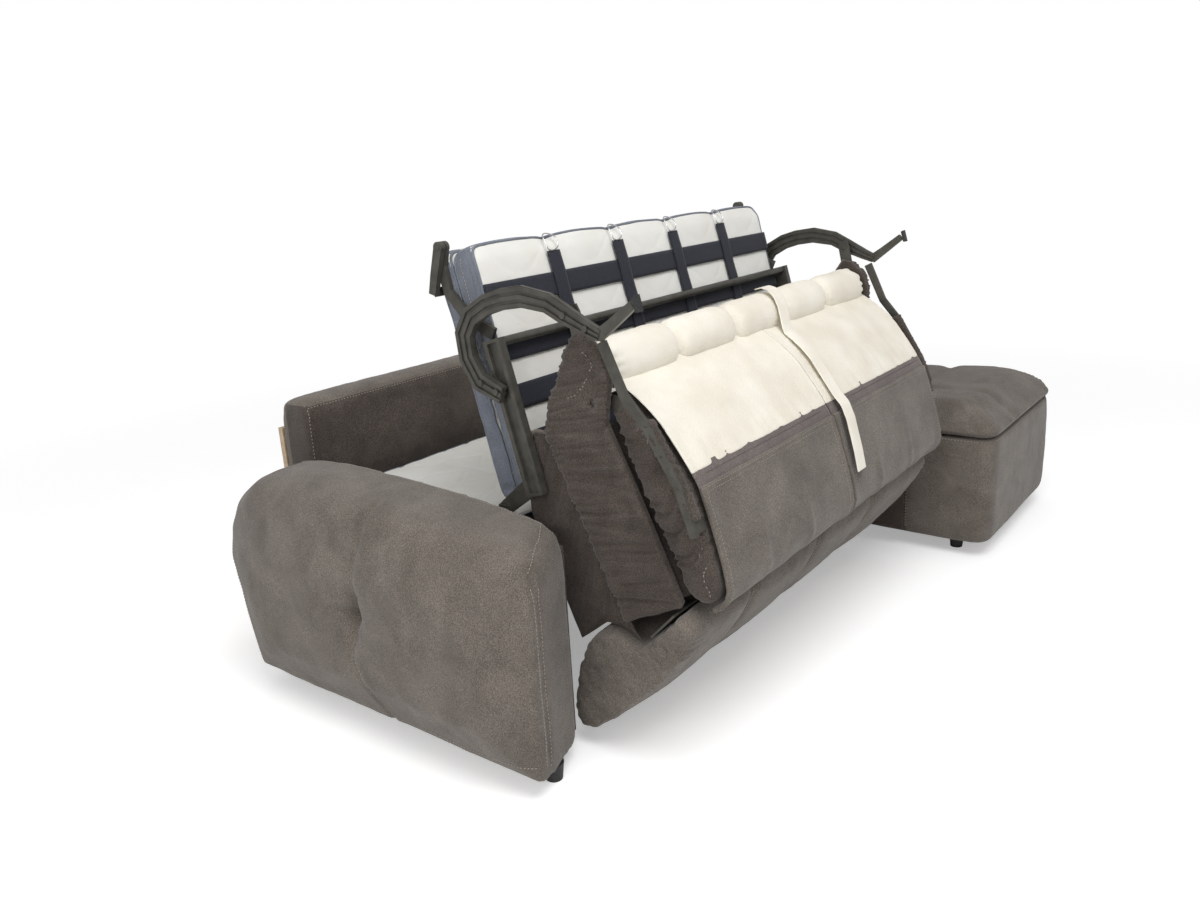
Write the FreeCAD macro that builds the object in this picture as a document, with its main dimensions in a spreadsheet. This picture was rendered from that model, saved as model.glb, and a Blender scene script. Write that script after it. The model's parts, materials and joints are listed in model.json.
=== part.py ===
"""Sleeper sofa with a chaise, caught with its bed half way out.

Millimetres, +Z up, the front faces -Y, the chaise is at +X.
The bed, the seat and the backrest are drawn flat in side view, each in the frame
of the piece that carries it, and then leaned to the angle of the half-open pose.
"""

import FreeCAD, Part
import math
import os

from FreeCAD import Placement, Rotation, Vector

os.makedirs("parts", exist_ok=True)
doc = FreeCAD.newDocument("sleeper_sofa")

# Driving dimensions. Names ending in _deg are angles, all the others are millimetres.
sizes = {
    "left_edge": -1256, "right_edge": 1256, "arm_inner": -1001, "arm_top": 604, "arm_clear": 42,
    "arm_front": -343, "arm_rear": 728, "board_thick": 18, "arm_board_top": 500,
    "bed_width": 1430, "wall_left": 429, "wall_right": 511, "wall_top": 420,
    "rear_front": 600, "rear_back": 749, "rear_top": 740, "rear_bottom": 70,
    "chaise_left": 515, "chaise_front": -749, "chaise_rear": 588, "chaise_step": -231,
    "chaise_seam": 404, "chaise_top": 483, "right_arm_left": 1029, "right_arm_top": 640,
    "foot_height": 50, "foot_radius": 24, "fold_y": -58, "fold_z": 540,
    "bed_tilt_deg": 74.6, "seat_tilt_deg": 64.55, "border_tilt_deg": 42.9,
    "knee_y": -576, "knee_z": 351, "border_pivot_s": 66, "border_pivot_drop": 12,
    "section_length": 598, "mattress_thick": 74, "head_top": 505, "tube_side": 24,
    "slat_thick": 6, "cushion_inset": 68, "mattress_inset": 58,
    "rail_width": 19.5, "rail_depth": 50, "rail_start": 25, "rail_end": 385,
    "cross_bar_radius": 10, "webbing_thick": 2.5, "webbing_wide": 56, "strap_wide": 46,
    "arch_thick": 18, "arch_half": 23, "pin_radius": 8, "pin_play": 0.06,
    "pivot_tube_radius": 9, "leg_radius": 12, "leg_length": 444,
    "yoke_tilt_deg": -93.3, "yoke_length": 140, "yoke_rod_radius": 9,
    "guide_low": 15, "guide_high": 575, "guide_y": 457, "guide_wide": 40,
}
sheet = doc.addObject("Spreadsheet::Sheet", "sizes")
for row, (alias, value) in enumerate(sizes.items(), start=1):
    sheet.set("A%d" % row, alias)
    sheet.set("B%d" % row, str(value))
    sheet.setAlias("B%d" % row, alias)
doc.recompute()


def dim(alias):
    return float(sheet.get(alias))


made = []


def keep(obj, name):
    obj.Label = name
    made.append(obj)
    return obj


def solid_node(name, solids):
    """One node from one solid, or a group of separate ones."""
    if not isinstance(solids, (list, tuple)):
        solids = [solids]
    obj = doc.addObject("Part::Feature", name)
    obj.Shape = solids[0] if len(solids) == 1 else Part.makeCompound(list(solids))
    return keep(obj, name)


def bound_box(name, formulas):
    """A Part::Box with its sizes and place bound to the sheet."""
    box = doc.addObject("Part::Box", name)
    for prop, formula in zip(("Length", "Width", "Height"), formulas[3:]):
        box.setExpression(prop, formula)
    for axis, formula in zip("xyz", formulas[:3]):
        box.setExpression("Placement.Base." + axis, formula)
    return keep(box, name)


bed_left = dim("arm_inner")
bed_width = dim("bed_width")


def across(inset):
    """X of a place measured in from the left side of the bed opening."""
    return bed_left + inset


def mirrored(first, last):
    """The same span of insets on both sides of the bed."""
    return [(first, last), (bed_width - last, bed_width - first)]


class Lean:
    """Side-view frame: origin in (y, z) and the tilt of its first axis above +Y."""

    def __init__(self, y, z, tilt):
        self.y, self.z = y, z
        self.cos, self.sin = math.cos(math.radians(tilt)), math.sin(math.radians(tilt))

    def point(self, a, b):
        return (self.y + a * self.cos - b * self.sin, self.z + a * self.sin + b * self.cos)

    def local(self, y, z):
        y, z = y - self.y, z - self.z
        return (y * self.cos + z * self.sin, z * self.cos - y * self.sin)


level = Lean(0, 0, 0)
bed = Lean(dim("fold_y"), dim("fold_z"), dim("bed_tilt_deg"))
seat = Lean(dim("knee_y"), dim("knee_z"), dim("seat_tilt_deg"))
border_pivot = seat.point(dim("border_pivot_s"), -dim("border_pivot_drop"))
border = Lean(*border_pivot, dim("border_tilt_deg"))
seat_pin = (390, 356)
seat_pin_on_seat = seat.local(*bed.point(*seat_pin))


def wire_at(lean, outline, x):
    corners = [Vector(x, *lean.point(a, b)) for a, b in outline]
    return Part.makePolygon(corners + corners[:1])


def plate(lean, outline, first, last):
    """A flat piece cut to a side-view outline, between two insets from the left."""
    face = Part.Face(wire_at(lean, outline, across(first)))
    return face.extrude(Vector(last - first, 0, 0))


def bar(lean, centre, radius, first, last):
    y, z = lean.point(*centre)
    return Part.makeCylinder(radius, last - first, Vector(across(first), y, z), Vector(1, 0, 0))


def ribbon(points, half):
    """The outline of a bent flat bar along a centre line."""
    halves = half if isinstance(half, (list, tuple)) else [half] * len(points)
    left, right = [], []
    for i, (a, b) in enumerate(points):
        before, after = points[max(i - 1, 0)], points[min(i + 1, len(points) - 1)]
        first = math.atan2(b - before[1], a - before[0]) if i else None
        second = math.atan2(after[1] - b, after[0] - a) if i < len(points) - 1 else None
        if first is None:
            first = second
        if second is None:
            second = first
        turn = (second - first + math.pi) % (2 * math.pi) - math.pi
        way = first + turn / 2
        reach = halves[i] / max(math.cos(turn / 2), 0.5)
        left.append((a - math.sin(way) * reach, b + math.cos(way) * reach))
        right.append((a + math.sin(way) * reach, b - math.cos(way) * reach))
    return left + right[::-1]


def shrunk(outline, amount):
    """The outline drawn in towards its middle, for a cushion's rounded end."""
    mid_a = sum(p[0] for p in outline) / len(outline)
    mid_b = sum(p[1] for p in outline) / len(outline)
    drawn = []
    for a, b in outline:
        span = math.hypot(a - mid_a, b - mid_b)
        part = 1 - min(amount / span, 0.8)
        drawn.append((mid_a + (a - mid_a) * part, mid_b + (b - mid_b) * part))
    return drawn


def padded(lean, outline, first, last, end_inset=16, seams=(), seam_depth=6):
    """A stuffed piece: rounded ends, and its skin drawn in at each sewn seam."""
    stations = [(first, end_inset), (first + 10, end_inset * 0.35), (first + 30, 0)]
    for seam in seams:
        stations += [(seam - 22, 0), (seam, seam_depth), (seam + 22, 0)]
    stations += [(last - 30, 0), (last - 10, end_inset * 0.35), (last, end_inset)]
    wires = [wire_at(lean, shrunk(outline, inset), across(x)) for x, inset in stations]
    return Part.makeLoft(wires, True, True)


def block(x0, y0, z0, x1, y1, z1):
    return Part.makeBox(x1 - x0, y1 - y0, z1 - z0, Vector(x0, y0, z0))


# Fixed body.
arm_inner, board = dim("arm_inner"), dim("board_thick")
arm_front, arm_rear = dim("arm_front"), dim("arm_rear")
arm_top, arm_clear = dim("arm_top"), dim("arm_clear")


def arm_outline(front, top, inset, rise):
    """A padded arm in side view: low soft front corner, long crown, round rear."""
    low = arm_clear + rise
    return [
        (front + inset, low), (front + inset * 0.6, low + 150), (front + inset, top - 112),
        (front + inset + 14, top - 64), (front + inset + 56, top - 40), (0, top - 16),
        (330, top), (500, top - 3), (600, top - 18), (668 - inset, top - 62),
        (arm_rear - 22 - inset, top - 118), (arm_rear - inset, top - 198),
        (arm_rear - 22 - inset, low + 170), (arm_rear - 60 - inset, low),
    ]


def padded_arm(front, top, inner, outer, bulge, skew):
    """Loft across the arm's width, from its flat inner side to its swelling outer side.

    The front is skewed: on the inner side it stands that much further back.
    """
    reach = outer - inner
    stations = [
        (0, 0, 10, 6), (0.10, 0, 0, 0), (0.45, 1, 0, 0), (0.72, 8, 0, 0), (0.90, 24, 4, 3),
        (1, 48, 13, 12),
    ]
    wires = [wire_at(level, arm_outline(front + skew * (1 - share), top - drop, inset, rise),
                     inner + share * reach)
             for share, drop, inset, rise in stations]
    swell = [(front + 150, arm_clear + 120), (front + 135, 240), (front + 150, top - 260),
             (front + 170, top - 215), (front + 210, top - 190), (0, top - 180),
             (330, top - 180), (440, top - 190), (500, top - 215), (550, top - 240),
             (580, top - 270), (590, top - 310), (580, arm_clear + 200), (550, arm_clear + 120)]
    wires.append(wire_at(level, swell, outer + bulge))
    return Part.makeLoft(wires, True, True)


solid_node("left_arm", padded_arm(arm_front, arm_top, arm_inner - board - 0.5, dim("left_edge") + 45, -45, 60))
bound_box("left_arm_inner_board", (
    "sizes.arm_inner - sizes.board_thick", "sizes.arm_front + 82", "sizes.arm_clear + 5",
    "sizes.board_thick", "sizes.arm_rear - sizes.arm_front - 150",
    "sizes.arm_board_top - sizes.arm_clear"))
right_inner = dim("right_arm_left")
solid_node("right_arm", padded_arm(-229, dim("right_arm_top"), right_inner, dim("right_edge") - 12, 12, 0))

bound_box("bed_side_wall", (
    "sizes.wall_left + 0.5", "sizes.arm_front + 60", "sizes.arm_clear",
    "sizes.wall_right - sizes.wall_left - 0.5", "sizes.rear_front - sizes.arm_front - 64",
    "sizes.wall_top - sizes.arm_clear"))

rear_front, rear_back, rear_top = dim("rear_front"), dim("rear_back"), dim("rear_top")
rear_outline = [
    (rear_front, 95), (rear_front, rear_top - 40), (rear_front + 12, rear_top - 12),
    (rear_front + 45, rear_top), (rear_back - 70, rear_top), (rear_back - 38, rear_top - 14),
    (rear_back - 22, rear_top - 60), (rear_back - 20, 95),
]
rear_last = right_inner - 3 - arm_inner
solid_node("rear_panel", padded(level, rear_outline, 3, rear_last, 8, (900, 1500), 3))
bound_box("rear_panel_board", (
    "sizes.arm_inner + 8", "sizes.rear_back - sizes.board_thick", "sizes.rear_bottom",
    "sizes.right_arm_left - sizes.arm_inner - 16", "sizes.board_thick", "580"))

foot_height, foot_radius = dim("foot_height"), dim("foot_radius")


def tapered_foot(x, y, top):
    return Part.makeCone(foot_radius * 0.8, foot_radius, top, Vector(x, y, 0), Vector(0, 0, 1))


solid_node("body_feet", [tapered_foot(x, y, arm_clear + extra) for x, y, extra in (
    (-1120, -290, -0.3), (-1120, 610, -0.3))]
    + [block(-900, rear_back - 19, 0, -850, rear_back - 1, dim("rear_bottom") - 0.3),
       block(60, rear_back - 19, 0, 110, rear_back - 1, dim("rear_bottom") - 0.3),
       tapered_foot(1150, 610, arm_clear - 0.3)])

# Chaise: padded base, its lining towards the bed, the crowned seat and the feet.
chaise_left, chaise_front = dim("chaise_left"), dim("chaise_front")
chaise_rear, step = dim("chaise_rear"), dim("chaise_step")
seam, chaise_top, right_edge = dim("chaise_seam"), dim("chaise_top"), dim("right_edge")


def chaise_ring(inset, z):
    """Plan outline of the chaise: full width in front, narrower beside the right arm."""
    plan = [
        (chaise_left + inset, chaise_rear - inset), (chaise_left + inset, chaise_front + 40 + inset),
        (chaise_left + 14 + inset, chaise_front + 12 + inset), (chaise_left + 45 + inset, chaise_front + inset),
        (right_edge - 75 - inset, chaise_front + inset), (right_edge - 22 - inset, chaise_front + 18 + inset),
        (right_edge - inset, chaise_front + 70 + inset), (right_edge - inset, step - 1 - inset),
        (right_inner - 3 - inset, step - 1 - inset), (right_inner - 3 - inset, chaise_rear - inset),
    ]
    corners = [Vector(x, y, z) for x, y in plan]
    return Part.makePolygon(corners + corners[:1])


solid_node("chaise_base", Part.makeLoft(
    [chaise_ring(14, foot_height), chaise_ring(2, 75), chaise_ring(0, 200), chaise_ring(0, 330),
     chaise_ring(4, seam - 0.5)], True, True))
solid_node("chaise_seat_cushion", Part.makeLoft(
    [chaise_ring(4, seam), chaise_ring(0, 425), chaise_ring(14, 455), chaise_ring(45, 472),
     chaise_ring(110, chaise_top)], True, True))
solid_node("chaise_feet", [tapered_foot(x, y, foot_height - 0.3) for x, y in (
    (chaise_left + 95, chaise_front + 130), (right_edge - 110, chaise_front + 130),
    (chaise_left + 95, chaise_rear - 90), (right_inner - 90, chaise_rear - 90))])
solid_node("chaise_lining_panel", block(
    chaise_left - 2.6, -469, 62, chaise_left - 0.4, arm_front + 58, seam - 6))
chaise_back = [
    (405, 488), (398, 560), (412, 760), (430, 850), (470, 872), (515, 855),
    (540, 780), (548, 620), (545, 488),
]
solid_node("chaise_backrest", padded(
    level, chaise_back, chaise_left + 10 - arm_inner, right_inner - 12 - arm_inner, 22))

# Lift guides on the sides, and the flat bar that ties the box under the bed.
guide_y, guide_wide = dim("guide_y"), dim("guide_wide")
guides = []
for first, last in mirrored(0.5, 12):
    guides.append(block(across(first), guide_y, dim("guide_low"),
                        across(last), guide_y + guide_wide, dim("guide_high")))
solid_node("lift_guides", guides)
bound_box("base_tie_bar", (
    "sizes.arm_inner + 0.5", "400", "6", "sizes.bed_width - 1", "40", "12"))

# Head section.
head_top, thick = dim("head_top"), dim("mattress_thick")
fold_y, fold_z = dim("fold_y"), dim("fold_z")
m_in = dim("mattress_inset")
m_out = bed_width - m_in
length = dim("section_length")


def mattress_outline(start, low, high, end):
    """Side view of a quilted section: soft edges and a slight crown."""
    return [
        (start, low + 12), (start, high - 14), (start + 8, high - 4), (start + 40, high - 1),
        ((start + end) / 2, high), (end - 40, high - 1), (end - 8, high - 4), (end, high - 14),
        (end, low + 12), (end - 10, low + 1), ((start + end) / 2, low), (start + 10, low + 1),
    ]


bays = [m_in + (m_out - m_in) * k / 5 for k in range(1, 5)]
solid_node("head_mattress", padded(
    level, mattress_outline(fold_y + 6, head_top - thick, head_top, fold_y + 604), m_in, m_out, 10, bays, 3))
tube = dim("tube_side")
tube_top = head_top - thick - dim("slat_thick") - 3
sides = mirrored(60, 60 + tube)
solid_node("head_side_tubes", [
    block(across(a), fold_y + 10, tube_top - tube, across(b), fold_y + 600, tube_top) for a, b in sides])
cross_first, cross_last = 60 + tube + 0.3, bed_width - 60 - tube - 0.3
solid_node("head_cross_tubes", [
    block(across(cross_first), y, tube_top - tube, across(cross_last), y + tube, tube_top)
    for y in (fold_y + 30, fold_y + 300, fold_y + 572)])
solid_node("head_slats", [
    block(across(62), fold_y + 60 + 88 * k, tube_top + 0.3, across(bed_width - 62),
          fold_y + 60 + 88 * k + 50, tube_top + 0.3 + dim("slat_thick")) for k in range(6)])
brackets = []
for first, last in mirrored(34, 38):
    ear = plate(level, [(fold_y - 16, fold_z + 14), (fold_y + 14, fold_z + 14),
                        (fold_y + 44, tube_top), (fold_y + 44, tube_top - tube),
                        (fold_y + 12, tube_top - tube), (fold_y - 16, fold_z - 12)], first, last)
    outer = min(first, last) < bed_width / 2
    stub = (last - 0.5, 59.7) if outer else (bed_width - 59.7, first + 0.5)
    ear = ear.fuse(block(across(stub[0]), fold_y + 18, tube_top - tube + 2,
                         across(stub[1]), fold_y + 40, tube_top - 2))
    ear = ear.cut(bar(level, (fold_y, fold_z), dim("pin_radius") + dim("pin_play"), first - 1, last + 1))
    brackets.append(ear.removeSplitter())
solid_node("head_hinge_brackets", brackets)
carriages = []
for first, last in mirrored(13, 59.7):
    carriages.append(block(across(first), guide_y + 2, tube_top - tube, across(last),
                           guide_y + guide_wide - 2, tube_top + 20 - 22))
solid_node("lift_carriages", carriages)

# Fold yoke: a cross rod under the fold joins the two link arms that turn on its pins.
yoke = Lean(fold_y, fold_z, dim("yoke_tilt_deg"))
yoke_reach = dim("yoke_length")
links = bar(yoke, (yoke_reach, 0), dim("yoke_rod_radius"), 41, bed_width - 41)
for first, last in mirrored(39, 43):
    disc = bar(level, (fold_y, fold_z), 20, first, last)
    arm = plate(yoke, ribbon([(0, 0), (yoke_reach / 2, 0), (yoke_reach, 0)], [18, 13, 13]), first, last)
    reach = (33, 49) if first < bed_width / 2 else (bed_width - 49, bed_width - 33)
    links = links.fuse(disc).fuse(arm).fuse(bar(yoke, (yoke_reach, 0), 13, first, last))
    links = links.fuse(bar(level, (fold_y, fold_z), dim("pin_radius"), *reach))
solid_node("fold_hinge_links", links.removeSplitter())

# Middle section.
rail_start, rail_end, rail_depth = dim("rail_start"), dim("rail_end"), dim("rail_depth")
solid_node("middle_mattress", padded(
    bed, mattress_outline(8, 35.5, 35.5 + thick, 8 + length), m_in, m_out, 10, bays, 5))
rails = []
for first, last in mirrored(24.5, 24.5 + dim("rail_width")):
    rail = plate(bed, [(rail_start, 95), (rail_end, 95), (rail_end, 95 + rail_depth),
                       (rail_start, 95 + rail_depth)], first, last)
    outer = (first - 1, first + 9) if first < bed_width / 2 else (last - 9, last + 1)
    rail = rail.cut(plate(bed, [(rail_start + 8, 106), (rail_end - 8, 106),
                                (rail_end - 8, 134), (rail_start + 8, 134)], *outer))
    rails.append(rail)
solid_node("middle_side_rails", rails)
bar_first, bar_last = 44.3, bed_width - 44.3
solid_node("middle_cross_bars", [
    bar(bed, centre, dim("cross_bar_radius"), bar_first, bar_last)
    for centre in ((60, 131), (375, 131))])
knuckles = []
for first, last in mirrored(44.2, 48):
    arm = plate(bed, [(-18, -8), (4, -20), (20, -8), (70, 98), (70, 118), (40, 140), (28, 118)], first, last)
    arm = arm.cut(bar(bed, (0, 0), dim("pin_radius") + dim("pin_play"), first - 1, last + 1))
    arm = arm.cut(bar(bed, (60, 131), dim("cross_bar_radius") + 0.3, first - 1, last + 1))
    knuckles.append(arm)
solid_node("middle_hinge_knuckles", knuckles)

web = dim("webbing_thick")
web_low = 35.5 + thick + 0.5
half_wide = dim("webbing_wide") / 2
solid_node("cross_webbing", [
    plate(bed, [(u - half_wide, web_low), (u + half_wide, web_low), (u + half_wide, web_low + web),
                (u - half_wide, web_low + web)], m_in + 2, m_out - 2) for u in (26, 137, 247, 358, 478)])
strap_half = dim("strap_wide") / 2
solid_node("lengthwise_webbing", [
    plate(bed, [(14, web_low + web + 0.3), (568, web_low + web + 0.3),
                (568, web_low + 2 * web + 0.3), (14, web_low + 2 * web + 0.3)],
          x - strap_half, x + strap_half) for x in bays])


def wire_loop(x):
    """A flat wire ring that hooks a strap to the top edge of the mattress."""
    path = [(566, 118.6), (590, 119), (604, 114)]
    loops = []
    for side in (-18, 18):
        loops.append(plate(bed, ribbon(path, 1.6), x + side - 1.6, x + side + 1.6))
    return [*loops, plate(bed, ribbon([(604.4, 116), (606.8, 111)], 1.4), x - 19.6, x + 19.6)]


solid_node("webbing_wire_loops", [piece for x in bays for piece in wire_loop(x)])

arch_line = [(262, 122), (303, 66), (360, 50), (412, 59), (446, 96), (459, 150), (460, 197),
             (452, 255), (424, 318), seat_pin, (352, 402), (331, 430)]
arch_half = dim("arch_half")
arch_halves = [20, arch_half, arch_half, arch_half, arch_half, arch_half, arch_half,
               arch_half, 21, 20, 15, 12]
hook_line = [(331, 424), (345, 462), (371, 527)]
arches = []
for first, last in mirrored(6, 24):
    outline = ribbon(arch_line, arch_halves)
    arch = plate(bed, outline, first + 4, last - 4)
    for offset in (-0.74, 0, 0.74):
        shift = [(a, b) for a, b in arch_line]
        left = ribbon(shift, [max(abs(offset) * reach, 0.01) for reach in arch_halves])
        count = len(arch_line)
        line = shift if offset == 0 else (left[:count] if offset > 0 else left[count:][::-1])
        arch = arch.fuse(plate(bed, ribbon(line, [reach * 0.2 for reach in arch_halves]), first, last))
    arch = arch.fuse(plate(bed, ribbon(hook_line, [13, 11, 9]), first + 3, last - 3))
    arches.append(arch.removeSplitter())
solid_node("left_leg_arch", arches[0])
solid_node("right_leg_arch", arches[1])
caps = []
for first, last in mirrored(4, 26):
    caps.append(plate(bed, [(356, 533.5), (386, 533.5), (388, 539.5), (354, 539.5)], first, last))
solid_node("leg_end_caps", caps)
pins = []
for first, last in mirrored(24.3, 46):
    pins.append(bar(bed, seat_pin, dim("pin_radius"), first, last))
solid_node("seat_pivot_pins", pins)
rivets = []
for first, last in [(2, 5.7), (bed_width - 5.7, bed_width - 2)]:
    for centre in (seat_pin, (352, 402), (272, 112), (300, 74)):
        rivets.append(bar(bed, centre, 7, first, last))
solid_node("arch_rivets", rivets)
foot_pivot = (613, 35)
curved_arms = []
for first, last in mirrored(46, 56):
    line = [(395, 112), (449, 46), (515, 10), (575, 14), foot_pivot]
    arm = plate(bed, ribbon(line, [14, 13, 12, 12, 12]), first, last)
    arm = arm.fuse(bar(bed, foot_pivot, 13, first, last))
    curved_arms.append(arm.cut(bar(bed, foot_pivot, 6 + dim("pin_play"), first - 1, last + 1)).removeSplitter())
solid_node("foot_hinge_brackets", curved_arms)

# Foot section.
solid_node("foot_mattress", padded(
    bed, mattress_outline(10, -17, 34.5, 606), m_in, m_out, 9, bays, 3))
solid_node("foot_frame", [
    plate(bed, [(12, -32), (596, -32), (596, -18), (12, -18)], a, b) for a, b in mirrored(90, 110)]
    + [plate(bed, [(u, -32), (u + 20, -32), (u + 20, -18), (u, -18)], 110.3, bed_width - 110.3)
       for u in (12, 500, 574)])
foot_arms = []
for first, last in mirrored(30, 44):
    arm = plate(bed, ribbon([foot_pivot, (560, 0), (520, -24)], [12, 11, 10]), first, last)
    arm = arm.fuse(bar(bed, foot_pivot, 13, first, last))
    inward = (29, 57) if first < bed_width / 2 else (bed_width - 57, bed_width - 29)
    arm = arm.fuse(bar(bed, foot_pivot, 6, *inward))
    stub = (43, 89.7) if first < bed_width / 2 else (bed_width - 89.7, bed_width - 43)
    arm = arm.fuse(plate(bed, [(514, -31), (534, -31), (534, -19), (514, -19)], *stub))
    foot_arms.append(arm.removeSplitter())
solid_node("foot_hinge_arms", foot_arms)
leg_turn = (40, -25)
leg_radius = 6.5
leg_posts = [plate(bed, ribbon([leg_turn, (leg_turn[0] + dim("leg_length"), -25)], leg_radius), a, b)
             .fuse(bar(bed, leg_turn, leg_radius, a, b)).removeSplitter() for a, b in mirrored(112, 126)]
leg_posts.append(plate(bed, ribbon([(leg_turn[0] + dim("leg_length") - 13, -25),
                                    (leg_turn[0] + dim("leg_length"), -25)], leg_radius), 126.3, bed_width - 126.3))
solid_node("foot_leg", leg_posts)

# Seat.
c_in = dim("cushion_inset")
c_out = bed_width - c_in
cushion = [
    (74, -118), (74, -22), (92, -5), (150, -1), (270, 0), (400, -2), (458, -9), (480, -30),
    (482, -80), (474, -132), (80, -132),
]
solid_node("seat_cushion", padded(seat, cushion, c_in, c_out, 16, (600, 1000), 4))
solid_node("seat_deck_board", plate(seat, [(80, -160), (476, -160), (476, -136), (80, -136)], c_in, c_out))
pivot = (530, -12)
gusset = [
    (72, -6), (300, -2), (480, -4), (520, 22), (565, 56), (620, 58), (664, 38), (678, 18),
    (655, -22), (612, -68), (566, -130), (512, -168), (72, -168),
]
for name, (first, last) in zip(("left_seat_gusset", "right_seat_gusset"), mirrored(47, 55)):
    side = plate(seat, gusset, first, last)
    solid_node(name, side.cut(bar(seat, pivot, 12, first - 1, last + 1)))
seat_arms = []
for first, last in mirrored(39, 43.8):
    tip = (seat_pin_on_seat[0] + 17, seat_pin_on_seat[1] + 4)
    arm = plate(seat, ribbon([tip, seat_pin_on_seat, pivot, (430, -100), (200, -148)],
                             [12, 17, 17, 16, 10]), first, last)
    arm = arm.cut(bar(seat, seat_pin_on_seat, dim("pin_radius") + dim("pin_play"), first - 1, last + 1))
    seat_arms.append(arm)
solid_node("seat_hinge_arms", seat_arms)
solid_node("backrest_pivot_tube", bar(seat, pivot, dim("pivot_tube_radius"), 44, bed_width - 44))

# Front border: hangs from the seat's front edge on a row of hinge leaves.
leaves = []
for x in (200, 560, 870, 1230):
    leaf = bar(border, (0, 0), 6, x, x + 60)
    leaves.append(leaf.fuse(plate(border, [(0.2, 0), (2.2, 0), (2.2, -40), (0.2, -40)], x, x + 60)).removeSplitter())
solid_node("border_hinge_leaves", leaves)
solid_node("border_hinge_rail", plate(border, [(-5, -12), (0, -12), (0, -100), (-5, -100)], 20, bed_width - 20))
face = [
    (-10, 3), (-50, 3), (-70, -14), (-86, -66), (-96, -140), (-94, -240), (-86, -340),
    (-72, -425), (-46, -456), (-20, -454), (10, -425), (66, -340), (92, -268), (84, -205),
    (50, -172), (-2, -160), (-9, -120),
]
solid_node("front_border", padded(border, face, 15, bed_width - 15, 14, (290, 640, 990), 8))

under_seat = [(74, -170.5), (512, -170.5), (534, -213), (500, -250), (436, -286), (370, -318)]
on_border = [seat.local(*border.point(a, b)) for a, b in (
    (106, -300), (100, -266), (91, -203), (56, -168), (6, -155.5))]
for name, (first, last) in zip(("left_border_bellows", "right_border_bellows"), mirrored(52, 55)):
    sheet_cut = plate(seat, under_seat + on_border, first, last)
    solid_node(name, sheet_cut.cut(bar(bed, (60, 131), 13, first - 1, last + 1)))

# Backrest.
split_first, split_last = 700, 712
core = [
    (508, 8), (519, 28), (516, 46), (437, 90), (304, 116), (238, 111), (130, 96), (80, 84),
    (54, 60), (50, 36), (70, 12), (125, 5), (325, 4),
]
solid_node("left_back_cushion", padded(seat, core, c_in, split_first, 14, (280, 490), 5))
solid_node("right_back_cushion", padded(seat, core, split_last, c_out, 14, (930, 1150), 5))
lining = [(522, 51), (438, 95), (306, 121.5)]
flap = [(300, 129), (238, 124.5), (130, 109), (66, 93), (37, 60), (36, 34)]
spans = ((c_in + 8, split_first - 8), (split_last + 8, c_out - 8))
for side, (first, last) in zip(("left", "right"), spans):
    solid_node(side + "_back_lining", plate(seat, ribbon(lining, 2), first, last))
    solid_node(side + "_back_flap", padded(seat, ribbon(flap, [4, 6, 7, 7, 6, 5]), first, last, 3))
solid_node("back_zip_strips", [
    plate(seat, ribbon([(304.5, 119.6), (282, 117)], 1.2), a, b) for a, b in spans])
roll = [(598 + 56 * math.cos(math.radians(a)), 14 + (50 if math.sin(math.radians(a)) > 0 else 44)
         * math.sin(math.radians(a))) for a in range(0, 360, 24)]
pleats = [c_in + (c_out - c_in) * k / 5 for k in range(1, 5)]
solid_node("back_lower_roll", padded(seat, roll, c_in, c_out, 18, pleats, 7))
bars = []
for first, last in mirrored(27, 36):
    bars.append(plate(seat, ribbon([(634, 77), (516, 76), (437, 98), (305, 112), (200, 100)],
                                   [11, 10, 10, 10, 9]), first, last))
bars_linked = []
for shape, (first, last) in zip(bars, mirrored(36, 67.7)):
    bars_linked.append(shape.fuse(plate(seat, [(205, 92), (235, 92), (235, 110), (205, 110)],
                                        first - 0.5 if first < bed_width / 2 else first,
                                        last if first < bed_width / 2 else last + 0.5)).removeSplitter())
solid_node("backrest_side_bars", bars_linked)
hinge_plates = []
for first, last in (*mirrored(59, 64), (703.5, 708.5)):
    tab = plate(seat, ribbon([pivot, (508, 34), (440, 60), (330, 66)], [17, 16, 13, 10]), first, last)
    tab = tab.fuse(bar(seat, pivot, 17, first, last))
    hinge_plates.append(tab.cut(bar(seat, pivot, dim("pivot_tube_radius") + dim("pin_play"),
                                    first - 1, last + 1)).removeSplitter())
solid_node("backrest_hinge_plates", hinge_plates)
strap_path = [(668, 20), (652, 58), (610, 74), (560, 70), (520, 62), (440, 102), (312, 130),
              (298, 140), (238, 137), (128, 124)]
solid_node("pull_strap", plate(seat, ribbon(strap_path, 2.2), 750, 800))

# Check and export.
doc.recompute()
for obj in doc.Objects:
    if "Invalid" in obj.State or "Error" in obj.State:
        raise RuntimeError("%s did not build: %s" % (obj.Label, obj.State))
for obj in made:
    shape = obj.Shape
    if shape.isNull() or not shape.isValid() or shape.Volume <= 0:
        raise RuntimeError("%s has no valid solid" % obj.Label)
    shape.exportStep("parts/%s.step" % obj.Label)
print(len(made), "nodes")
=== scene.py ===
# %% [markdown]
# # Dressing a sleeper sofa
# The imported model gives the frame: steel arches, hinges, boards and plain solids for
# everything stuffed. This lesson adds what an upholsterer adds. Every soft piece starts
# as a copy of its solid, so it is the right size and stands in the right place.

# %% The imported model
import json
import math

import bmesh
import bpy
import numpy as np
from mathutils import Matrix, Vector, noise
from mathutils.bvhtree import BVHTree


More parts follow.
